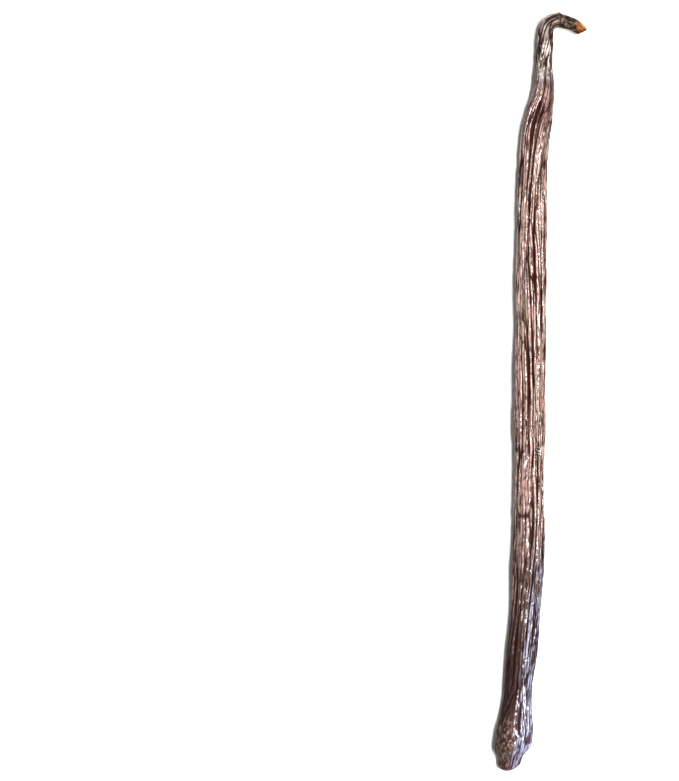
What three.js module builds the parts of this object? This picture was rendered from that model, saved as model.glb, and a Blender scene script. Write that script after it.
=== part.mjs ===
// One whole cured vanilla pod, lying on its side: a long flattened body with furrows running along it, a
// bulging blossom end with a blunt nub, and a narrow stem end that bends over into a hook with a cut face.
// Millimetres, +Z up. The pod lies along Y with the hook at +Y, and bends in the plane it lies on.
// The origin is at the middle of its outline, on the surface it rests on.
import * as THREE from "three";
import { LoftGeometry } from "three/addons/geometries/LoftGeometry.js";

const { degToRad, lerp, smoothstep } = THREE.MathUtils;
const TAU = 2 * Math.PI;

// Length along the middle of the pod, from the blossom end to the cut face, and where things happen on it.
const RUN = 176.9;
const NOSE = 1.9; // the rounded tip of the blossom end
const NUB_END = 5.8; // the small nub behind the tip, before the bulge
const NUB_STEP = 3.2; // how far the nub takes to widen into the bulge
const NECK_FROM = 142;
const NECK_TO = 160;

// Widths, seen from above, and how thick the pod is as a share of its width.
const BODY_WIDTH = 7.0;
const NUB_SHARE = 0.7;
const NECK_WIDTH = 4.1;
const CUT_WIDTH = 2.7;
const BODY_FLATNESS = 0.75;
const STEM_FLATNESS = 0.96;
const KEEL = 0.03; // how far the section departs from an ellipse towards three lobes
const KEEL_TURN = 1; // where the first lobe stands round the pod, in radians

// Where the pod is narrower or wider than that, and its slow unevenness along its length.
const BULGE = { at: 8, reach: 4.8, by: 1.5 };
const WAIST = { at: 19, reach: 6, by: -0.75 };
const NARROWING = { at: 138, reach: 6, by: -0.5 };
const ELBOW = { at: 167.5, reach: 2.6, by: 0.15 };
const WIDTH_WAVES = [
  { every: 37, by: 0.12, from: 0 },
  { every: 15.5, by: 0.08, from: 0.3 },
];
const THICKNESS_WAVES = [{ every: 29, by: 0.03, from: 0.4 }];

// How the pod lies: pressed a little flat where it rests, arched in the middle, lifted at the hook.
const PRESS = 0.2;
const ARCH = { at: 80, reach: 30, by: 0.45 };
const LIFT = { from: 148, to: 170.6, by: 1.1 };

// The heading of the blossom end, to the right of +Y, and each turn after it, to the right, in degrees.
const FIRST_HEADING = 9;
const TURNS = [
  { from: 6, to: 12, by: -5 },
  { from: 16, to: 24, by: 2 },
  { from: 30, to: 50, by: -5.4 },
  { from: 128, to: 143, by: 4.5 },
  { from: 141, to: 149, by: 8 },
  { from: 149, to: 156.5, by: -13 },
  { from: 156.5, to: 163, by: 3 },
  { from: 165.7, to: 172.3, by: 100 },
  { from: 172.3, to: 176.9, by: 35 },
];

// Both ends stand askew: how far they lean forward for each step to the right.
const TIP_LEAN = { from: 12, to: 2, by: 0.28 };
const CUT_LEAN = { from: 173, to: 176.9, by: -0.33 };

// The furrows between the ridges. They wander round the pod as they run along it.
const FURROWS = 16;
const FURROW_DEPTH = 0.5;
const FURROW_STRAY = 0.45; // how unevenly they are spaced, as a share of a ridge
const DEPTH_WAVE = { mean: 0.58, by: 0.42, shortest: 34, spread: 30 };
const CREST_WAVE = { every: 23, by: 0.1 };
const SHOULDERS = [0.28, 0.72]; // where a ridge's two shoulders stand between its furrows
const NECK_TWIST = { from: 143, to: 160, by: -0.35 };
const STEM_TWIST = { from: 157, to: 171, by: -1.1 };
const TAIL_FAN = { from: 20, to: 11, by: 1.05 }; // how far one ridge widens at the blossom end
const FAN_RISE = [1.18, 1.6]; // the angles from one side of that ridge to the other
const FAN_FALL = [1.8, 5.4]; // and those over which the ridges beyond it crowd together
const DEPTH_CHANGES = [
  { from: 24, to: 7, by: -0.45 }, // shallower furrows at the blossom end
  { from: 156, to: 161, by: 0.6 }, // deeper ones on the stem
  { from: 170, to: 173, by: -0.9 }, // and shallow ones beyond the hook's bend
];
const SWAY = [{ every: 96, by: 0.22, from: 0 }];
const FLANK_SWAY = { every: 43, by: 0.07 };

const TRACK_STEP = 0.05;
const NOSE_RINGS = 5;
const BODY_RINGS = 94;
const CROWDING = 0.11; // how much closer the rings stand at both ends
const CUT_EDGE = 0.12; // how far the cut face stands past its rounded edge
const CUT_SHARE = 0.86;

const part = (number) => number - Math.floor(number);
const hump = (at, { at: middle, reach, by }) => by * Math.exp(-(((at - middle) / reach) ** 2));
const waves = (at, list) =>
  list.reduce((sum, { every, by, from }) => sum + by * Math.sin(TAU * (at / every + from)), 0);

// A change that has happened in full at "to" and not at all at "from", whichever comes first.
function change(at, { from, to, by }) {
  const done = from < to ? smoothstep(at, from, to) : 1 - smoothstep(at, to, from);
  return by * done;
}

function widthAt(at) {
  const nub = lerp(NUB_SHARE, 1, smoothstep(at, NUB_END - NUB_STEP, NUB_END));
  const swells = hump(at, BULGE) + hump(at, WAIST) + hump(at, NARROWING);
  const body = BODY_WIDTH + swells + waves(at, WIDTH_WAVES);
  const necked = lerp(body, NECK_WIDTH, smoothstep(at, NECK_FROM, NECK_TO));
  return nub * lerp(necked, CUT_WIDTH, smoothstep(at, NECK_TO, RUN)) + hump(at, ELBOW);
}

function thicknessAt(at) {
  const share = lerp(BODY_FLATNESS, STEM_FLATNESS, smoothstep(at, NECK_FROM, NECK_TO));
  return widthAt(at) * (share + waves(at, THICKNESS_WAVES));
}

function headingAt(at) {
  return degToRad(TURNS.reduce((sum, turn) => sum + change(at, turn), FIRST_HEADING));
}

function heightAt(at) {
  return thicknessAt(at) / 2 - PRESS + hump(at, ARCH) + change(at, LIFT);
}

// The pod's middle line, followed in short steps along its heading.
function middleLine() {
  const track = [new THREE.Vector3(0, 0, heightAt(0))];
  for (let at = TRACK_STEP; at < RUN + 1; at += TRACK_STEP) {
    const heading = headingAt(at - TRACK_STEP / 2);
    const last = track[track.length - 1];
    const step = new THREE.Vector3(Math.sin(heading), Math.cos(heading), 0).multiplyScalar(TRACK_STEP);
    track.push(last.clone().add(step).setZ(heightAt(at)));
  }
  return track;
}

const MIDDLE = middleLine();

function middleAt(at) {
  const place = at / TRACK_STEP;
  const before = Math.min(Math.floor(place), MIDDLE.length - 2);
  return MIDDLE[before].clone().lerp(MIDDLE[before + 1], place - before);
}

// Each furrow and ridge has its own number, and takes its unevenness from the golden ratio and its like.
const GOLDEN = 0.618;
const PLASTIC = 0.7549;
const PLASTIC_SQUARE = 0.5698;

// Where furrow number i stands round the pod, as an angle from its right side, and how deep it is.
function furrowAngle(i) {
  const stray = FURROW_STRAY * (part((i % FURROWS) * GOLDEN) - 0.5);
  return (TAU * (i + stray)) / FURROWS;
}

function furrowDepth(i, at) {
  const { mean, by, shortest, spread } = DEPTH_WAVE;
  const every = shortest + spread * part(i * PLASTIC_SQUARE);
  const wave = mean + by * Math.sin(TAU * (at / every + part(i * PLASTIC)));
  const share = DEPTH_CHANGES.reduce((sum, row) => sum + change(at, row), 1);
  return (FURROW_DEPTH * wave * share * widthAt(at)) / BODY_WIDTH;
}

function crestLift(i, at) {
  const wave = Math.sin(TAU * (at / CREST_WAVE.every + part(i * GOLDEN)));
  return (CREST_WAVE.by * wave * widthAt(at)) / BODY_WIDTH;
}

// How far the ridges have turned round the pod. They slant across it at the neck and twist along the stem.
// At the blossom end one ridge widens into a smooth lobe on top, and those to its left crowd together.
function turnedBy(angle, at) {
  const flank = FLANK_SWAY.by * Math.sin(2 * angle + TAU * (at / FLANK_SWAY.every));
  const parted = smoothstep(angle, ...FAN_RISE) * (1 - smoothstep(angle, ...FAN_FALL));
  const twist = change(at, NECK_TWIST) + change(at, STEM_TWIST);
  return waves(at, SWAY) + twist + flank + change(at, TAIL_FAN) * parted;
}

// A point of the skin: at a distance along the pod, at an angle round it, sunk below it by some depth.
// A share under 1 draws the point in towards the middle line.
function skinPoint(at, angle, sunk, share) {
  const turned = angle + turnedBy(angle, at);
  const lobes = 1 + KEEL * Math.cos(3 * turned + KEEL_TURN);
  const aside = share * ((widthAt(at) / 2) * lobes - sunk) * Math.cos(turned);
  const up = share * ((thicknessAt(at) / 2) * lobes - sunk) * Math.sin(turned);
  const ahead = (change(at, TIP_LEAN) + change(at, CUT_LEAN)) * aside;
  const heading = headingAt(at);
  const point = middleAt(at);
  point.x += aside * Math.cos(heading) + ahead * Math.sin(heading);
  point.y += ahead * Math.cos(heading) - aside * Math.sin(heading);
  point.z = Math.max(point.z + up, 0);
  return point;
}

// One ring of the skin: for each ridge, the furrow before it and its two shoulders.
// A loft wants its rings the other way round, as seen from the hook.
function ring(at, share) {
  const points = [];
  for (let i = 0; i < FURROWS; i += 1) {
    const [start, end] = [furrowAngle(i), furrowAngle(i + 1)];
    points.push(skinPoint(at, start, furrowDepth(i, at), share));
    for (const shoulder of SHOULDERS) {
      points.push(skinPoint(at, lerp(start, end, shoulder), -crestLift(i, at), share));
    }
  }
  return points.reverse();
}

function podRings() {
  const rings = [];
  for (let k = 1; k <= NOSE_RINGS; k += 1) {
    const angle = (k / NOSE_RINGS) * (Math.PI / 2);
    rings.push(ring(NOSE * (1 - Math.cos(angle)), Math.sin(angle)));
  }
  for (let k = 1; k <= BODY_RINGS; k += 1) {
    const u = k / BODY_RINGS;
    rings.push(ring(lerp(NOSE, RUN, u - CROWDING * Math.sin(TAU * u)), 1));
  }
  rings.push(ring(RUN + CUT_EDGE, CUT_SHARE));
  return rings;
}

function vanillaPod() {
  const geometry = new LoftGeometry(podRings(), { capStart: true, capEnd: true });
  const skin = new THREE.MeshStandardMaterial({ color: 0x4a2f28, roughness: 0.35, metalness: 0 });
  const pod = new THREE.Mesh(geometry, skin);
  pod.name = "vanilla_pod";
  geometry.computeBoundingBox();
  const middle = geometry.boundingBox.getCenter(new THREE.Vector3());
  pod.position.set(-middle.x, -middle.y, 0);
  return pod;
}

const group = new THREE.Group();
group.add(vanillaPod());

export default group;
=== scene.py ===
import math
from types import SimpleNamespace

import bpy
import numpy as np
from mathutils import Matrix, Vector


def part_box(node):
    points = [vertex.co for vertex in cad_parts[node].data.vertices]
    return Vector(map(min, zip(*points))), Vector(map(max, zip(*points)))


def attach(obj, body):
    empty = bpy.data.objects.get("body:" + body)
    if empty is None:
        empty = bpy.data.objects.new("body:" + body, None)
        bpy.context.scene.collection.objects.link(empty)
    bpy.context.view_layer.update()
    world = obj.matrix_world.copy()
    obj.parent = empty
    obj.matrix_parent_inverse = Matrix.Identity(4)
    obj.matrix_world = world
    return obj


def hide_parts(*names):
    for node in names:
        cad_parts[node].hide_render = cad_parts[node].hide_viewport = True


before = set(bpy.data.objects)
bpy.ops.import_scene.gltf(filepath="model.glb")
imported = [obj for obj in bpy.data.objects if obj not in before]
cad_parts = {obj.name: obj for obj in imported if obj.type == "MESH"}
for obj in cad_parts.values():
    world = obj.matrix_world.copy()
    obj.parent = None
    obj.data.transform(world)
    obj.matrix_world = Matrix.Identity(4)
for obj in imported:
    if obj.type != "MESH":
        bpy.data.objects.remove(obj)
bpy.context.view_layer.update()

# One whole cured vanilla pod, lying on its side: the solid's own form, made again in a fine mesh with
# rounded ridges, strands and creases that split and join, a bare woody cut and an oily, dark brown skin.
# The form is worked out in millimetres, and the mesh is made in metres.
MM = 0.001
TAU = 2 * math.pi
NODE = "vanilla_pod"

# The form of the solid. "at" is a length along the pod's middle line, from the blossom end to the cut.
RUN = 176.9
NOSE = 1.9  # the rounded tip of the blossom end
NUB_END = 5.8  # the small nub behind the tip, before the bulge
NUB_STEP = 3.2  # how far the nub takes to widen into the bulge
NECK_FROM = 142
NECK_TO = 160
TRACK_STEP = 0.05  # the short steps in which the middle line is followed

# Its widths, seen from above, and its thickness as a share of them.
BODY_WIDTH = 7.0
NUB_SHARE = 0.7
NECK_WIDTH = 4.1
CUT_WIDTH = 2.7
BODY_FLATNESS = 0.75
STEM_FLATNESS = 0.96
KEEL = 0.03  # how far the section departs from an ellipse towards three lobes
KEEL_TURN = 1

# Where it is wider or narrower than that, and its slow unevenness.
BULGE = dict(at=8, reach=4.8, by=1.5)
WAIST = dict(at=19, reach=6, by=-0.75)
NARROWING = dict(at=138, reach=6, by=-0.5)
ELBOW = dict(at=167.5, reach=2.6, by=0.15)
WIDTH_WAVES = [dict(every=37, by=0.12, start=0), dict(every=15.5, by=0.08, start=0.3)]
THICKNESS_WAVES = [dict(every=29, by=0.03, start=0.4)]

# How it lies: pressed a little flat where it rests, arched in the middle, lifted at the hook.
PRESS = 0.2
ARCH = dict(at=80, reach=30, by=0.45)
LIFT = dict(start=148, end=170.6, by=1.1)

# The heading of the blossom end, to the right of +Y, and each turn after it, in degrees.
FIRST_HEADING = 9
TURNS = [
    dict(start=6, end=12, by=-5),
    dict(start=16, end=24, by=2),
    dict(start=30, end=50, by=-5.4),
    dict(start=128, end=143, by=4.5),
    dict(start=141, end=149, by=8),
    dict(start=149, end=156.5, by=-13),
    dict(start=156.5, end=163, by=3),
    dict(start=165.7, end=172.3, by=100),
    dict(start=172.3, end=176.9, by=35),
]

# Both ends stand askew: how far they lean forward for each step to the right.
TIP_LEAN = dict(start=12, end=2, by=0.28)
CUT_LEAN = dict(start=173, end=176.9, by=-0.33)

# The furrows between its ridges, which wander round the pod as they run along it.
FURROWS = 16
FURROW_DEPTH = 0.5
FURROW_STRAY = 0.45
DEPTH_WAVE = dict(mean=0.58, by=0.42, shortest=34, spread=30)
DEPTH_CHANGES = [
    dict(start=24, end=7, by=-0.45),
    dict(start=156, end=161, by=0.6),
    dict(start=170, end=173, by=-0.9),
]
CREST_WAVE = dict(every=23, by=0.1)
NECK_TWIST = dict(start=143, end=160, by=-0.35)
STEM_TWIST = dict(start=157, end=171, by=-1.1)
SWAY = [dict(every=96, by=0.22, start=0)]
FLANK_SWAY = dict(every=43, by=0.07)

# One ridge widens at the blossom end, and those beyond it crowd together.
TAIL_FAN = dict(start=20, end=11, by=1.05)
FAN_RISE = (1.18, 1.6)
FAN_FALL = (1.8, 5.4)
FAN_SHARE = 0.55  # how much of that spreading the fine relief keeps out of

# Each furrow and ridge takes its unevenness from its number, times one of these.
GOLDEN = 0.618
PLASTIC = 0.7549
PLASTIC_SQUARE = 0.5698

# The fine mesh. Its rings stand closer on the hooked stem.
RIDGE_COLUMNS = 12  # columns of faces on each ridge, so that every furrow has its own line of points
STEM_FROM = 160
BODY_RINGS = 405
STEM_RINGS = 96
NOSE_RINGS = 9
CUT_RINGS = 6
SMALLEST_SHARE = 0.07  # the smallest ring at either end, closed by a fan

# The cut: its face stands past its rounded edge and is dished.
CUT_EDGE = 0.12
CUT_SHARE = 0.86  # the size of its face, as a share of the stem's section there
CUT_DISH = 0.28
CUT_ROUNDING = 0.7  # how far before the cut its edge begins to round off
CUT_SLANT = 1.25  # half of how much further along the skin ends on the hook's inside than on its outside

# The finer relief, in millimetres. Each noise has its seed, its number of cells round the pod and their
# length. Strands run along the pod, about two to a ridge. They drift across it and crinkle, by so many of
# their own widths.
RIDGE_ROUNDING = 0.7
STRANDS = 34
STRAND_DRIFT = dict(seed=21, cells=9, length=22, by=1.2)
STRAND_CRINKLE = dict(seed=23, cells=23, length=2.6, by=0.26)
STRAND_ROUNDING = 0.8
STRAND_DEPTH = (0.03, 0.34)
STRAND_DEPTH_NOISE = dict(seed=22, cells=19, length=6)
STRAND_DEPTH_STEP = (-0.5, 0.5)
STRANDS_ON_STEM = 0.5  # the share of their depth that is left there
LUMPS = dict(seed=13, cells=6, length=9, by=0.12)
BEADS = dict(seed=14, cells=34, length=1.15, by=0.06)
STEM_FOLDS = dict(seed=15, cells=7, length=6, by=0.3)

# Each network of creases runs where a stretched noise crosses zero.
WIDE_CREASES = dict(seed=11, cells=17, length=13, width=0.13, depth=0.2)
FINE_CREASES = dict(seed=12, cells=40, length=4.5, width=0.3, depth=0.07)
STEM_CREASES = dict(seed=16, cells=9, length=9, width=0.2, depth=0.45)
TAIL_WRINKLES = dict(seed=17, cells=22, length=2.4, width=0.3, depth=0.16)
CREASE_DRIFT = 0.35  # how far they stray round the pod, in cells
DRIFT_SEED = 50  # how far the seed of their straying lies past their own

# Where the relief changes, and how dark the painted shade in its grooves is.
STEM_FOLD_SLANT = -0.024  # turns of slant for each millimetre along the stem
STEM_FOLDS_FROM = (156, 162)
ARM_FROM = (170.3, 172.3)  # the arm of the hook, beyond its bend
RELIEF_ON_ARM = 0.4  # the share of all grooves that is left there
ARM_SHADE = 0.4  # and how dark they still are
GROOVE_SHADE = (0.14, 0.35)  # depths at which a groove begins to darken, and is at its darkest
STEM_SHADE = 1.2  # how many times deeper that is on the stem

# Single features: where each stands along the pod and round it (0 is its right side, a quarter turn its
# top), how far it reaches both ways, and how far it lifts the skin.
KNUCKLE = dict(at=158.4, turn=0.22, long=0.8, wide=0.07, lift=0.25, skew=-6)
KNUCKLE_CREASE = dict(at=159.5, turn=0.25, long=0.3, wide=0.09, lift=-0.18, skew=-8)
CREST_NUB = dict(at=170.9, turn=0.5, long=0.3, wide=0.035, lift=0.34)
CREST_DIMPLE = dict(at=171.8, turn=0.44, long=0.45, wide=0.05, lift=-0.2)
TAIL_LOBE = dict(at=6.5, turn=0.4, long=3.0, wide=0.08, lift=0.2)
FEATURES = [KNUCKLE, KNUCKLE_CREASE, CREST_NUB, CREST_DIMPLE, TAIL_LOBE]

# Smooth reddish patches, where the strands and creases die out.
PATCHES = [
    dict(at=151.5, turn=0.26, long=3, wide=0.05, lift=0.7),
    dict(at=13.5, turn=0.34, long=4, wide=0.06, lift=0.85),
    dict(at=96, turn=0.16, long=6, wide=0.07, lift=0.6),
    dict(at=60, turn=0.62, long=7, wide=0.1, lift=0.7),
    dict(at=118, turn=0.8, long=8, wide=0.09, lift=0.7),
]

# Where the blossom end is finely wrinkled, dull and painted in shade on its left and painted with a silvery
# reflection on its right, and the stem is pale.
WRINKLED = dict(at=7.5, turn=0.36, long=3.2, wide=0.13, lift=1)
DULL_AND_SHADED = dict(start=48, end=24, by=1)
DULL_AND_SHADED_SIDE = (-0.05, 0.3)
SILVER_REFLECTION = dict(start=60, end=28, by=1)
SILVER_REFLECTION_SIDE = (-0.08, 0.22)
PALE = dict(start=153, end=158.5, by=1)
PALE_TO = (170.6, 171.8)
PALE_SIDE = (-0.1, 0.5)
PALE_FACING = 0.9  # the angle that the pale side faces on the stem
ELBOW_FACING = dict(start=161, end=167, by=1.3)  # and how far it comes round on the hook's bend


def smoothstep(x, low, high):
    t = np.clip((x - low) / (high - low), 0, 1)
    return t * t * (3 - 2 * t)


def lerp(a, b, t):
    return a + (b - a) * t


def part(number):
    return number - np.floor(number)


def hump(x, at, reach, by):
    return by * np.exp(-(((x - at) / reach) ** 2))


def waves(at, rows):
    return sum(row["by"] * np.sin(TAU * (at / row["every"] + row["start"])) for row in rows)


def change(at, start, end, by):
    """A change that has happened in full at the end and not at all at the start, whichever comes first."""
    done = smoothstep(at, start, end) if start < end else 1 - smoothstep(at, end, start)
    return by * done


def width_at(at):
    nub = lerp(NUB_SHARE, 1, smoothstep(at, NUB_END - NUB_STEP, NUB_END))
    swells = hump(at, **BULGE) + hump(at, **WAIST) + hump(at, **NARROWING)
    body = BODY_WIDTH + swells + waves(at, WIDTH_WAVES)
    necked = lerp(body, NECK_WIDTH, smoothstep(at, NECK_FROM, NECK_TO))
    return nub * lerp(necked, CUT_WIDTH, smoothstep(at, NECK_TO, RUN)) + hump(at, **ELBOW)


def thickness_at(at):
    share = lerp(BODY_FLATNESS, STEM_FLATNESS, smoothstep(at, NECK_FROM, NECK_TO))
    return width_at(at) * (share + waves(at, THICKNESS_WAVES))


def heading_at(at):
    return np.radians(FIRST_HEADING + sum(change(at, **turn) for turn in TURNS))


def middle_at(at):
    """The middle line: X and Y follow its heading in short steps, and its height follows the thickness."""
    track = np.arange(0, RUN + 2, TRACK_STEP)
    heading = heading_at(track[1:] - TRACK_STEP / 2)
    x = np.concatenate([[0], np.cumsum(np.sin(heading) * TRACK_STEP)])
    y = np.concatenate([[0], np.cumsum(np.cos(heading) * TRACK_STEP)])
    height = thickness_at(at) / 2 - PRESS + hump(at, **ARCH) + change(at, **LIFT)
    return np.interp(at, track, x), np.interp(at, track, y), height


def furrow_angle(i):
    stray = FURROW_STRAY * (part((i % FURROWS) * GOLDEN) - 0.5)
    return TAU * (i + stray) / FURROWS


def furrow_depth(i, at):
    every = DEPTH_WAVE["shortest"] + DEPTH_WAVE["spread"] * part(i * PLASTIC_SQUARE)
    wave = DEPTH_WAVE["mean"] + DEPTH_WAVE["by"] * np.sin(TAU * (at / every + part(i * PLASTIC)))
    return FURROW_DEPTH * wave * (1 + sum(change(at, **row) for row in DEPTH_CHANGES))


def crest_lift(i, at):
    return CREST_WAVE["by"] * np.sin(TAU * (at / CREST_WAVE["every"] + part(i * GOLDEN)))


def fan_by(angle, at):
    return change(at, **TAIL_FAN) * smoothstep(angle, *FAN_RISE) * (1 - smoothstep(angle, *FAN_FALL))


def turned_by(angle, at):
    flank = FLANK_SWAY["by"] * np.sin(2 * angle + TAU * (at / FLANK_SWAY["every"]))
    twist = change(at, **NECK_TWIST) + change(at, **STEM_TWIST)
    return waves(at, SWAY) + twist + flank + fan_by(angle, at)


def skin_point(at, angle, sunk, share):
    """Points of the skin, in millimetres: along the pod, round it, and sunk below the plain form.
    A share under 1 draws them in towards the middle line."""
    turned = angle + turned_by(angle, at)
    lobes = 1 + KEEL * np.cos(3 * turned + KEEL_TURN)
    aside = share * ((width_at(at) / 2) * lobes - sunk) * np.cos(turned)
    up = share * ((thickness_at(at) / 2) * lobes - sunk) * np.sin(turned)
    ahead = (change(at, **TIP_LEAN) + change(at, **CUT_LEAN)) * aside
    heading = heading_at(at)
    x, y, z = middle_at(at)
    x = x + aside * np.cos(heading) + ahead * np.sin(heading)
    y = y + ahead * np.cos(heading) - aside * np.sin(heading)
    return np.stack([x, y, np.maximum(z + up, 0)], axis=-1)


# A noise has this many rows of cells past the pod's two ends, and this many of them before its start.
SPARE_ROWS = 4
ROWS_BEFORE = 1


def skin_noise(around, along, seed, cells, length, by=1):
    """Smooth noise, from -by to by, that closes up round the pod. Its cells are stretched along it."""
    rows = int(RUN / length) + SPARE_ROWS
    values = np.random.default_rng(seed).uniform(-1, 1, (cells, rows))
    across, down = part(around) * cells, along / length + ROWS_BEFORE
    i, j = np.floor(across).astype(int), np.floor(down).astype(int)
    s, t = smoothstep(across - i, 0, 1), smoothstep(down - j, 0, 1)
    near = lerp(values[i % cells, j], values[(i + 1) % cells, j], s)
    far = lerp(values[i % cells, j + 1], values[(i + 1) % cells, j + 1], s)
    return by * lerp(near, far, t)


def creases(around, along, seed, cells, length, width, depth):
    """A network of long creases that split and join."""
    drift = skin_noise(around, along, seed + DRIFT_SEED, cells, length / 2, by=CREASE_DRIFT / cells)
    noise = skin_noise(around + drift, along, seed, cells, length)
    return depth * np.exp(-((noise / width) ** 2))


def strands(around, at):
    """How near each point is to the groove beside its strand, from 0 on its crest to 1, and how deep."""
    drift = skin_noise(around, at, **STRAND_DRIFT) + skin_noise(around, at, **STRAND_CRINKLE)
    groove = 1 - np.abs(np.sin(np.pi * (STRANDS * around + drift))) ** STRAND_ROUNDING
    share = smoothstep(skin_noise(around, at, **STRAND_DEPTH_NOISE), *STRAND_DEPTH_STEP)
    return groove, groove * lerp(*STRAND_DEPTH, share)


def ridge_relief(ridge, across, at):
    """The depth of the furrows on both sides of a ridge, and the lift of the rounded crest between them."""
    depth = lerp(furrow_depth(ridge % FURROWS, at), furrow_depth((ridge + 1) % FURROWS, at), across)
    rise = np.sin(np.pi * across) ** RIDGE_ROUNDING
    return depth * (1 - rise), crest_lift(ridge, at) * rise


def spot(at, turned, feature):
    """A soft-edged spot on the skin: the feature's lift in its middle, and next to nothing outside it."""
    away = part(turned / TAU - feature["turn"] + 0.5) - 0.5
    along = at - feature["at"] - feature.get("skew", 0) * away
    reach = (along / feature["long"]) ** 2 + (away / feature["wide"]) ** 2
    return feature["lift"] * np.exp(-reach)


def pod_relief(ridge, across, at, drawn, turned):
    """How far each point lies below the plain form, and, from 0 to 1, how much painted shade its grooves
    give it, how smooth, and how near the crest of its strand."""
    around = drawn / TAU
    slanted = around + STEM_FOLD_SLANT * at
    smooth = np.clip(sum(spot(at, turned, patch) for patch in PATCHES), 0, 1)
    stem = smoothstep(at, *STEM_FOLDS_FROM)
    arm = smoothstep(at, *ARM_FROM)

    off_crest, fine = strands(around, at)
    fine = fine * lerp(1, STRANDS_ON_STEM, stem)
    fine = fine + creases(around, at, **WIDE_CREASES) + creases(around, at, **FINE_CREASES)
    fine = fine * (1 - smooth) + creases(slanted, at, **STEM_CREASES) * stem
    fine = fine + creases(around, at, **TAIL_WRINKLES) * spot(at, turned, WRINKLED)
    furrow, crest = ridge_relief(ridge, across, at)
    grooves = (furrow + fine) * lerp(1, RELIEF_ON_ARM, arm)

    swell = skin_noise(around, at, **LUMPS) + skin_noise(around, at, **BEADS) * (1 - smooth)
    swell = swell + skin_noise(slanted, at, **STEM_FOLDS) * stem
    sunk = (grooves - crest + swell) * width_at(at) / BODY_WIDTH
    sunk = sunk - sum(spot(at, turned, feature) for feature in FEATURES)
    shade = smoothstep(grooves / lerp(1, STEM_SHADE, stem), *GROOVE_SHADE) * lerp(1, ARM_SHADE, arm)
    return sunk, np.stack([shade, smooth, 1 - off_crest], axis=-1)


def skin_finish_and_painted_light(at, turned):
    """How far along each point lies, as the skin's slanting end counts it, and, from 0 to 1, how dull the
    skin is and how much painted shade it gets on the blossom end's left, and how pale the stem's strands are
    and how much painted silvery reflection the blossom end's right gets."""
    bared = at - CUT_SLANT * np.cos(turned)
    # The blossom end's left: duller, and given painted shade.
    dull_and_shaded = change(at, **DULL_AND_SHADED) * smoothstep(-np.cos(turned), *DULL_AND_SHADED_SIDE)
    facing = PALE_FACING + change(at, **ELBOW_FACING)
    pale_and_reflection = change(at, **PALE) * (1 - smoothstep(at, *PALE_TO))
    pale_and_reflection = pale_and_reflection * smoothstep(np.cos(turned - facing), *PALE_SIDE)
    # The blossom end's right: where a silvery reflection is painted.
    pale_and_reflection = pale_and_reflection + change(at, **SILVER_REFLECTION) * smoothstep(np.cos(turned), *SILVER_REFLECTION_SIDE)
    return np.stack([bared, dull_and_shaded, pale_and_reflection], axis=-1)


def ring_places():
    """Each ring's place along the pod, and its size as a share of the whole section there: the rounded nose,
    the body, the stem and the face of the cut."""
    bend = np.linspace(0, math.pi / 2, NOSE_RINGS + 1)
    bend[0] = math.asin(SMALLEST_SHARE)
    body = np.linspace(NOSE, STEM_FROM, BODY_RINGS + 1)[1:]
    stem = np.linspace(STEM_FROM, RUN, STEM_RINGS + 1)[1:]
    face = np.linspace(CUT_SHARE, SMALLEST_SHARE, CUT_RINGS)
    dish = CUT_DISH * (1 - (face / CUT_SHARE) ** 2)
    at = np.concatenate([NOSE * (1 - np.cos(bend)), body, stem, RUN + CUT_EDGE - dish])
    share = np.concatenate([np.sin(bend), np.ones(BODY_RINGS + STEM_RINGS), face])
    rounded = smoothstep(at, RUN - CUT_ROUNDING, RUN + CUT_EDGE) * (at <= RUN)
    return at, share * lerp(1, CUT_SHARE, rounded)


def pod_grid():
    """The pod's rings of points, and what the skin's material needs to know at each."""
    column = np.arange(FURROWS * RIDGE_COLUMNS)
    ridge, across = column // RIDGE_COLUMNS, (column % RIDGE_COLUMNS) / RIDGE_COLUMNS
    angle = lerp(furrow_angle(ridge), furrow_angle(ridge + 1), across)
    at, share = ring_places()
    at, angle = np.meshgrid(at, angle, indexing="ij")
    share = np.broadcast_to(share[:, None], at.shape)
    turned = angle + turned_by(angle, at)
    drawn = angle + FAN_SHARE * fan_by(angle, at)
    sunk, relief = pod_relief(ridge, across, at, drawn, turned)
    straight = np.stack([share * np.cos(drawn), share * np.sin(drawn), at], axis=-1)
    looks = dict(straight=straight, relief=relief, finish_and_painted_light=skin_finish_and_painted_light(at, turned))
    return skin_point(at, angle, sunk, share), looks


def pod_faces(rings, columns):
    """Squares between the rings, and a fan at either end round a middle point. The two middle points come
    after those of the rings."""
    ring, column = np.meshgrid(np.arange(rings - 1), np.arange(columns), indexing="ij")
    following = (column + 1) % columns
    here, beside = ring * columns + column, ring * columns + following
    quads = np.stack([here, here + columns, beside + columns, beside], axis=-1).reshape(-1, 4)
    last = (rings - 1) * columns
    tip_middle, cut_middle = rings * columns, rings * columns + 1
    tip_fan = [(tip_middle, side, (side + 1) % columns) for side in range(columns)]
    cut_fan = [(cut_middle, last + (side + 1) % columns, last + side) for side in range(columns)]
    return quads.tolist() + tip_fan + cut_fan


def shift_into_frame(points):
    """How far the form moves, in millimetres, so that it is centred on its node's box."""
    middle = (points.min(axis=0) + points.max(axis=0)) / 2
    low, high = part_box(NODE)
    centre = (low + high) / 2
    return np.array([centre.x / MM - middle[0], centre.y / MM - middle[1], 0])


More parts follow.
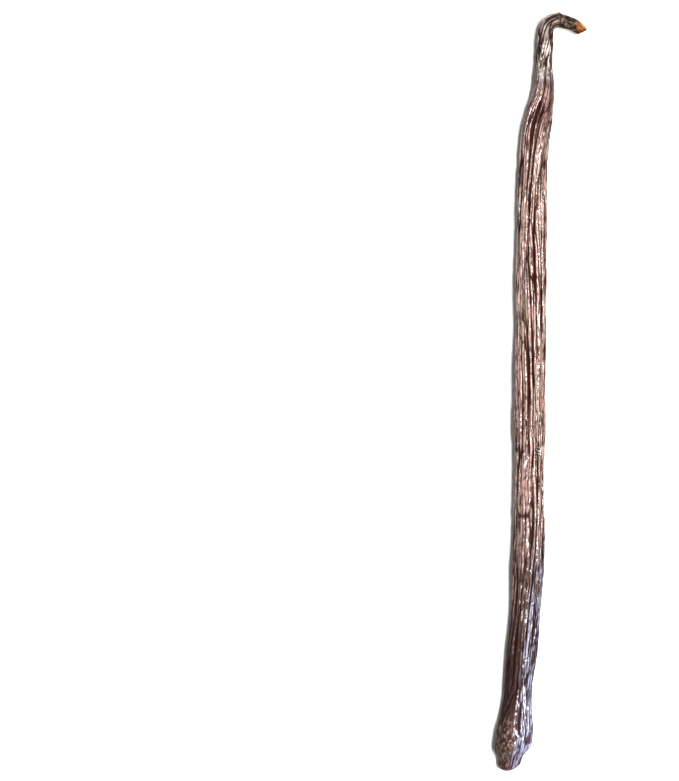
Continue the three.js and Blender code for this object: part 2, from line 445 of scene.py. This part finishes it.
def pod_mesh():
    """The pod's mesh, with its looks as point attributes, and how far its form was moved into the frame."""
    grid, looks = pod_grid()
    rings, columns = grid.shape[:2]
    points = grid.reshape(-1, 3)
    shift = shift_into_frame(points)
    points = (points + shift) * MM
    ends = [points[:columns].mean(axis=0), points[-columns:].mean(axis=0)]

    mesh = bpy.data.meshes.new("pod_skin")
    mesh.from_pydata(np.concatenate([points, ends]).tolist(), [], pod_faces(rings, columns))
    mesh.polygons.foreach_set("use_smooth", [True] * len(mesh.polygons))
    for name, values in looks.items():
        ends = [values[0].mean(axis=0), values[-1].mean(axis=0)]
        values = np.concatenate([values.reshape(-1, 3), ends])
        attribute = mesh.attributes.new(name, "FLOAT_VECTOR", "POINT")
        attribute.data.foreach_set("vector", values.astype(np.float32).ravel())
    mesh.validate()
    return mesh, shift


# The sockets of a mix node that mixes colours.
MIX_FACTOR, MIX_A, MIX_B, MIX_RESULT = 0, 6, 7, 2


class Nodes:
    """Short ways to add nodes to a material."""

    def __init__(self, material):
        self.tree = material.node_tree
        self.tree.nodes.clear()

    def add(self, kind, inputs=None, **settings):
        node = self.tree.nodes.new(kind)
        for name, value in settings.items():
            setattr(node, name, value)
        for socket, value in (inputs or {}).items():
            if isinstance(value, bpy.types.NodeSocket):
                self.tree.links.new(value, node.inputs[socket])
            else:
                node.inputs[socket].default_value = value
        return node

    def attribute(self, name):
        return self.add("ShaderNodeAttribute", attribute_name=name).outputs["Vector"]

    def split(self, vector):
        return self.add("ShaderNodeSeparateXYZ", {0: vector}).outputs

    def math(self, operation, a, b):
        return self.add("ShaderNodeMath", {0: a, 1: b}, operation=operation).outputs[0]

    def plus(self, a, b):
        return self.math("ADD", a, b)

    def times(self, product, *factors):
        for factor in factors:
            product = self.math("MULTIPLY", product, factor)
        return product

    def ramp(self, value, low, high, to_low=0.0, to_high=1.0):
        """Maps low..high to to_low..to_high smoothly, and holds the ends."""
        inputs = {"Value": value, "From Min": low, "From Max": high, "To Min": to_low, "To Max": to_high}
        return self.add("ShaderNodeMapRange", inputs, interpolation_type="SMOOTHSTEP").outputs["Result"]

    def noise(self, straight, across, along, detail=2.0, roughness=0.5):
        """Noise on the pod as if it were straight, with its scales across it and along it."""
        scales = {0: straight, 1: (across, across, along)}
        stretched = self.add("ShaderNodeVectorMath", scales, operation="MULTIPLY").outputs[0]
        inputs = {"Vector": stretched, "Scale": 1.0, "Detail": detail, "Roughness": roughness}
        return self.add("ShaderNodeTexNoise", inputs).outputs["Fac"]

    def mix(self, factor, a, b):
        inputs = {MIX_FACTOR: factor, MIX_A: a, MIX_B: b}
        return self.add("ShaderNodeMix", inputs, data_type="RGBA").outputs[MIX_RESULT]


# Colours of the skin, as linear red, green and blue.
DEEP_BROWN = (0.036, 0.014, 0.010, 1)
RED_BROWN = (0.125, 0.062, 0.051, 1)
GREY_BROWN = (0.150, 0.104, 0.090, 1)
# A painted highlight along the strand crests, pale pink and grey.
CREST_HIGHLIGHT_PINK = (0.405, 0.258, 0.238, 1)
CREST_HIGHLIGHT_GREY = (0.290, 0.222, 0.178, 1)
SMOOTH_RED = (0.150, 0.074, 0.062, 1)
# Near black: the painted shade in the grooves, and the dark hairlines.
SHADE_AND_HAIRLINE_BLACK = (0.013, 0.0020, 0.0010, 1)
TAIL_BROWN = (0.013, 0.0052, 0.0045, 1)
# A painted cool reflection on the right of the blossom end: silvery strands over a dark bluish-grey ground.
TAIL_GREY = (0.014, 0.010, 0.013, 1)
TAIL_SILVER_REFLECTION = (0.240, 0.240, 0.315, 1)
WRINKLE_TAN = (0.190, 0.125, 0.088, 1)
STEM_PALE = (0.235, 0.192, 0.174, 1)
# Near white: pale braided fibres, partly a painted highlight.
STEM_WHITE_AND_HIGHLIGHT = (0.600, 0.530, 0.490, 1)
STEM_BROWN = (0.075, 0.048, 0.040, 1)
STEM_DARK = (0.012, 0.005, 0.003, 1)
ARM_PALE = (0.135, 0.092, 0.066, 1)
ARM_BROWN = (0.026, 0.014, 0.008, 1)
ARM_DARK = (0.010, 0.004, 0.002, 1)
WOOD = (0.350, 0.122, 0.032, 1)
WOOD_DARK = (0.040, 0.008, 0.002, 1)
WOOD_PALE = (0.50, 0.27, 0.13, 1)

# Noises of the skin: how many cells they have to the pod's radius across it and to a millimetre along it.
BROAD_TONES = dict(across=1.3, along=0.035, detail=2)
GREY_PATCHES = dict(across=2.6, along=0.11, detail=3)
DARK_STREAKS = dict(across=9, along=0.22, detail=4, roughness=0.6)
HAIRS = dict(across=6, along=0.26, detail=3, roughness=0.65)
CREST_TINTS = dict(across=2.0, along=0.05, detail=3, roughness=0.6)
GRIT = dict(across=7, along=1.1, detail=2, roughness=0.6)
WIRES = dict(across=8.5, along=0.3, detail=2, roughness=0.6)
WRINKLE_DASHES = dict(across=9, along=0.9, detail=3, roughness=0.65)
FIBRES = dict(across=1.9, along=0.3, detail=4, roughness=0.65)
BLOTCHES = dict(across=1.2, along=1.4, detail=3, roughness=0.65)
WOOD_GRAIN = dict(across=2.2, along=0.45, detail=3, roughness=0.65)
GLOSS = dict(across=6.5, along=1.5, detail=3, roughness=0.6)
THREADS = dict(across=8, along=0.25, detail=3, roughness=0.6)
GRAINS = dict(across=7, along=1.4, detail=2)

# Where the skin changes along the pod, from nothing of the change to all of it.
TAIL_TONE = (85, 35)
TAIL_TONE_STRAY = 20  # how far the grey patches carry that change along the pod
TAIL_WRINKLES_SHOW = (15, 9)
BODY_GLOSS = (30, 60)
NECK_CREST_HIGHLIGHTS = (138, 150)
NECK_HAIRS = (140, 150)
STEM_SKIN = (156.5, 162)
STEM_SKIN_STRAY = 6
STEM_FIBRES = (156, 161)
DRY_STEM = (158, 172)
BEND_BLEACHED = (163.5, 168)
BRAIDS_AND_HIGHLIGHT_SHOW = (171, 168.5)
ARM_SKIN = (170.9, 171.8)
THREADS_FADE = (170, 172)
SKIN_END = (175.7, 176.3)
SKIN_END_STRAY = 1.6
WOOD_FRINGE = (176.3, 177.3)
CUT_RIM = (176.3, 176.9)

# What is the same all over the skin. A low index keeps its darks dark, and the oily coat carries the gloss.
SKIN_SHADER = {
    "IOR": 1.13,
    "Coat IOR": 1.75,
    "Coat Roughness": 0.17,
    "Specular Tint": (1, 0.8, 0.73, 1),
}
BUMP = {"Strength": 0.8, "Distance": 0.0001}


def skin_fields(n):
    """What the skin's colour, gloss and bump are worked out from: the mesh's attributes, and the noises that
    several of them share."""
    straight = n.attribute("straight")
    along = n.split(straight)["Z"]
    shade, smooth, crestline = n.split(n.attribute("relief"))
    bared, dull_and_shaded, pale_and_reflection = n.split(n.attribute("finish_and_painted_light"))
    return SimpleNamespace(
        straight=straight, along=along, shade=shade, smooth=smooth, crestline=crestline,
        bared=bared, dull_and_shaded=dull_and_shaded, pale_and_reflection=pale_and_reflection,
        patches=n.noise(straight, **GREY_PATCHES),
        wires=n.noise(straight, **WIRES),
        fibres=n.noise(straight, **FIBRES),
        gloss=n.noise(straight, **GLOSS),
    )


def body_colour(n, skin):
    """Reddish brown with greyer patches, dark streaks and hairlines, and a painted highlight, pale pink and
    grey, along the strand crests.
    """
    broad = n.noise(skin.straight, **BROAD_TONES)
    streaks = n.noise(skin.straight, **DARK_STREAKS)
    hairs = n.noise(skin.straight, **HAIRS)
    hairs = n.math("SUBTRACT", hairs, n.ramp(skin.along, *NECK_HAIRS, 0, 0.05))
    colour = n.mix(n.ramp(broad, 0.36, 0.58, 0.4, 1), DEEP_BROWN, RED_BROWN)
    colour = n.mix(n.ramp(skin.patches, 0.5, 0.7, 0, 0.7), colour, GREY_BROWN)
    colour = n.mix(n.ramp(streaks, 0.38, 0.62, 0.4, 0), colour, DEEP_BROWN)
    colour = n.mix(n.times(skin.smooth, 0.8), colour, SMOOTH_RED)
    colour = n.mix(n.ramp(hairs, 0.38, 0.46, 0.9, 0), colour, SHADE_AND_HAIRLINE_BLACK)

    # Painted highlight: the strand crests, out of the grooves, made paler, and less so towards the neck.
    crest = n.times(n.ramp(skin.shade, 0.8, 0.1), n.ramp(skin.crestline, 0.35, 0.9))
    crest = n.times(crest, n.ramp(hairs, 0.43, 0.52, 0.1, 1), n.ramp(skin.along, *NECK_CREST_HIGHLIGHTS, 1, 0.7))
    tints = n.ramp(n.noise(skin.straight, **CREST_TINTS), 0.46, 0.58)
    colour = n.mix(crest, colour, n.mix(tints, CREST_HIGHLIGHT_PINK, CREST_HIGHLIGHT_GREY))
    grit = n.noise(skin.straight, **GRIT)
    return n.mix(n.ramp(grit, 0.36, 0.5, 0.5, 0), colour, DEEP_BROWN)


def tail_colour(n, skin, body):
    """The body's colour, darker towards the blossom end, with painted shade on the left of that end and tan
    wrinkles there, and a painted silvery reflection on the strands on its right, over a dark bluish-grey
    ground."""
    place = n.plus(skin.along, n.times(skin.patches, TAIL_TONE_STRAY))
    colour = n.mix(n.ramp(place, *TAIL_TONE, 0, 0.78), body, TAIL_BROWN)
    # Painted shade on the blossom end's left.
    colour = n.mix(n.times(skin.dull_and_shaded, 0.76), colour, TAIL_BROWN)
    # Painted reflection on the blossom end's right: silvery strands over a dark bluish-grey ground.
    silver_reflection = n.times(skin.pale_and_reflection, n.ramp(skin.wires, 0.46, 0.56, 0, 0.95), n.ramp(skin.crestline, 0.3, 0.8))
    colour = n.mix(n.times(skin.pale_and_reflection, 0.75), colour, TAIL_GREY)
    colour = n.mix(silver_reflection, colour, TAIL_SILVER_REFLECTION)
    dashes = n.ramp(n.noise(skin.straight, **WRINKLE_DASHES), 0.47, 0.64, 0, 0.72)
    wrinkled = n.times(skin.dull_and_shaded, n.ramp(skin.along, *TAIL_WRINKLES_SHOW))
    return n.mix(n.times(wrinkled, dashes), colour, WRINKLE_TAN)


def stem_colour(n, skin):
    """Bleached, woody fibres on the stem, with near-white braids that are partly a painted highlight, and
    dark mottled skin on the hook's arm.
    """
    lifted = n.plus(skin.fibres, n.ramp(skin.along, *BEND_BLEACHED, 0, 0.11))
    bleached = n.times(n.ramp(lifted, 0.47, 0.54), n.ramp(skin.pale_and_reflection, 0, 1, 0.12, 1))
    # Pale braids, partly a painted highlight, on the stem's pale side.
    braids_and_highlight = n.times(n.ramp(skin.fibres, 0.54, 0.62), n.ramp(skin.along, *BRAIDS_AND_HIGHLIGHT_SHOW), skin.pale_and_reflection)
    woody = n.mix(n.ramp(lifted, 0.4, 0.47), STEM_DARK, STEM_BROWN)
    woody = n.mix(bleached, woody, STEM_PALE)
    woody = n.mix(braids_and_highlight, woody, STEM_WHITE_AND_HIGHLIGHT)
    blotches = n.noise(skin.straight, **BLOTCHES)
    mottled = n.mix(n.ramp(blotches, 0.42, 0.52), ARM_DARK, ARM_BROWN)
    mottled = n.mix(n.ramp(blotches, 0.53, 0.62), mottled, ARM_PALE)
    return n.mix(n.ramp(n.plus(skin.along, blotches), *ARM_SKIN), woody, mottled)


def wood_colour(n, skin, edge):
    """The bare wood at the cut: orange with dark grain, and darker beside the skin and at the rim."""
    grain = n.noise(skin.straight, **WOOD_GRAIN)
    wood = n.mix(n.ramp(grain, 0.41, 0.5), WOOD_DARK, WOOD)
    wood = n.mix(n.ramp(grain, 0.55, 0.64), wood, WOOD_PALE)
    wood = n.mix(n.ramp(edge, *WOOD_FRINGE, 0.65, 0), wood, WOOD_DARK)
    return n.mix(n.ramp(skin.along, *CUT_RIM, 0, 0.8), wood, WOOD_DARK)


def skin_oil(n, skin, bare):
    """How oily the skin is: in beads along the strands, out of the grooves, and less towards both ends."""
    beads = n.times(n.ramp(skin.gloss, 0.44, 0.54, 1, 0.06), n.ramp(skin.wires, 0.38, 0.5, 0.2, 1))
    oily = n.times(beads, n.ramp(skin.shade, 0, 0.6, 1, 0), n.math("SUBTRACT", 1.0, bare))
    oily = n.times(oily, n.ramp(skin.along, *DRY_STEM, 1, 0.05), n.ramp(skin.dull_and_shaded, 0, 1, 1, 0.15))
    return n.times(oily, n.ramp(skin.along, *BODY_GLOSS, 0.7, 1))


def skin_height(n, skin):
    """The finest relief: threads along the pod, grains, and the stem's fibres."""
    threads = n.times(n.noise(skin.straight, **THREADS), n.ramp(skin.along, *THREADS_FADE, 1, 0.2))
    grains = n.times(n.noise(skin.straight, **GRAINS), n.ramp(skin.patches, 0.4, 0.6, 0.5, 1.4))
    fibres = n.times(skin.fibres, n.ramp(skin.along, *STEM_FIBRES, 0, 4))
    return n.plus(n.plus(threads, grains), fibres)


def skin_material():
    material = bpy.data.materials.new("pod_skin")
    material.use_nodes = True
    n = Nodes(material)
    skin = skin_fields(n)
    edge = n.plus(skin.bared, n.times(skin.fibres, SKIN_END_STRAY))
    bare = n.ramp(edge, *SKIN_END)

    colour = tail_colour(n, skin, body_colour(n, skin))
    stem = n.ramp(n.plus(skin.along, n.times(skin.patches, STEM_SKIN_STRAY)), *STEM_SKIN)
    colour = n.mix(stem, colour, stem_colour(n, skin))
    # Painted shade: the grooves darkened towards black.
    colour = n.mix(n.times(skin.shade, 0.95), colour, SHADE_AND_HAIRLINE_BLACK)
    colour = n.mix(bare, colour, wood_colour(n, skin, edge))

    rough = n.plus(n.ramp(skin.gloss, 0.35, 0.62, 0.28, 0.5), n.times(skin.shade, 0.3))
    rough = n.plus(rough, n.times(bare, 0.35))
    bump = n.add("ShaderNodeBump", {**BUMP, "Height": skin_height(n, skin)}).outputs[0]
    oily = skin_oil(n, skin, bare)
    inputs = {"Base Color": colour, "Roughness": rough, "Coat Weight": oily, "Normal": bump}
    shader = n.add("ShaderNodeBsdfPrincipled", {**SKIN_SHADER, **inputs})
    n.add("ShaderNodeOutputMaterial", {"Surface": shader.outputs[0]})
    return material


def make_pod():
    """Adds the pod, and returns where its middle line starts in the frame, in millimetres."""
    mesh, shift = pod_mesh()
    pod = bpy.data.objects.new("pod", mesh)
    bpy.context.scene.collection.objects.link(pod)
    pod.data.materials.append(skin_material())
    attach(pod, "root")
    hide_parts(NODE)
    return shift


# The photograph's frame: its width and height, and the place in it of the blossom end's middle, in pixels.
PHOTO = (679, 781)
TIP_PIXEL = (509.1, 772)
POD_LENGTH = 170
POD_PIXELS = 758
PIXEL = POD_LENGTH / POD_PIXELS  # millimetres to a pixel
LENS = 90
SENSOR = 36  # spans the frame's height, which is its longer side


def make_camera(tip):
    """Looks straight down on the pod, which lies in the picture where the photograph shows it."""
    low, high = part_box(NODE)
    camera = bpy.data.objects.new("camera", bpy.data.cameras.new("camera"))
    camera.data.lens = LENS
    camera.data.sensor_width = SENSOR
    distance = PHOTO[1] * PIXEL * LENS / SENSOR
    x = tip[0] + (PHOTO[0] / 2 - TIP_PIXEL[0]) * PIXEL
    y = tip[1] + (TIP_PIXEL[1] - PHOTO[1] / 2) * PIXEL
    camera.location = (x * MM, y * MM, (low.z + high.z) / 2 + distance * MM)
    bpy.context.scene.collection.objects.link(camera)
    bpy.context.scene.camera = camera


FLOOR_REACH = 3.0  # metres from its middle to each side
FLOOR_DROP = 0.00002  # how far it lies below the pod, so that the two don't share a plane
FLOOR_COLOUR = (0.65, 0.65, 0.65, 1)
FLOOR_ROUGHNESS = 0.9


def make_floor():
    mesh = bpy.data.meshes.new("floor")
    side = FLOOR_REACH
    corners = [(-side, -side, 0), (side, -side, 0), (side, side, 0), (-side, side, 0)]
    mesh.from_pydata(corners, [], [(0, 1, 2, 3)])
    floor = bpy.data.objects.new("floor", mesh)
    floor.location.z = -FLOOR_DROP
    material = bpy.data.materials.new("floor")
    material.use_nodes = True
    shader = material.node_tree.nodes["Principled BSDF"]
    shader.inputs["Base Color"].default_value = FLOOR_COLOUR
    shader.inputs["Roughness"].default_value = FLOOR_ROUGHNESS
    mesh.materials.append(material)
    bpy.context.scene.collection.objects.link(floor)


def make_light(name, place, target, size, power, colour, spread=180):
    """A soft light. Its place, what it faces, its width and its length along Y are in millimetres."""
    light = bpy.data.lights.new(name, "AREA")
    light.spread = math.radians(spread)
    light.shape = "RECTANGLE"
    light.size, light.size_y = size[0] * MM, size[1] * MM
    light.energy = power
    light.color = colour
    lamp = bpy.data.objects.new(name, light)
    lamp.location = Vector(place) * MM
    facing = (Vector(target) - Vector(place)).normalized()
    side = facing.cross(Vector((0, 1, 0))).normalized()
    lamp.rotation_euler = Matrix((side, side.cross(facing) * -1, -facing)).transposed().to_euler()
    bpy.context.scene.collection.objects.link(lamp)


# The key light is a row of strips, so that the oily beads along the whole pod catch it.
KEY_ROW = (-150, -40, 70, 180)
KEY_ASIDE = 130
KEY_HEIGHT = 560
KEY_TARGET_SHARE = 0.7  # how far along the pod each strip faces, as a share of its own place along it
KEY = dict(size=(150, 50), power=2.4, colour=(1, 0.985, 0.96))
SIDE = dict(place=(-330, 60, 330), target=(0, 20, 0), size=(160, 300), power=0.4, colour=(1, 0.99, 0.98))
WINDOW = dict(
    place=(310, -145, 340),
    target=(0, -70, 0),
    size=(160, 130),
    power=1.6,
    colour=(0.64, 0.72, 1.0),
    spread=34,
)
WORLD_COLOUR = (1, 1, 1, 1)
WORLD_STRENGTH = 0.14


def make_lights():
    for number, y in enumerate(KEY_ROW):
        make_light(f"key_{number}", (KEY_ASIDE, y, KEY_HEIGHT), (0, KEY_TARGET_SHARE * y, 0), **KEY)
    make_light("side", **SIDE)
    make_light("window", **WINDOW)
    world = bpy.data.worlds.new("studio")
    world.use_nodes = True
    world.node_tree.nodes["Background"].inputs["Color"].default_value = WORLD_COLOUR
    world.node_tree.nodes["Background"].inputs["Strength"].default_value = WORLD_STRENGTH
    bpy.context.scene.world = world
    bpy.context.scene.view_settings.view_transform = "Standard"


make_camera(make_pod())
make_floor()
make_lights()
bpy.context.view_layer.update()
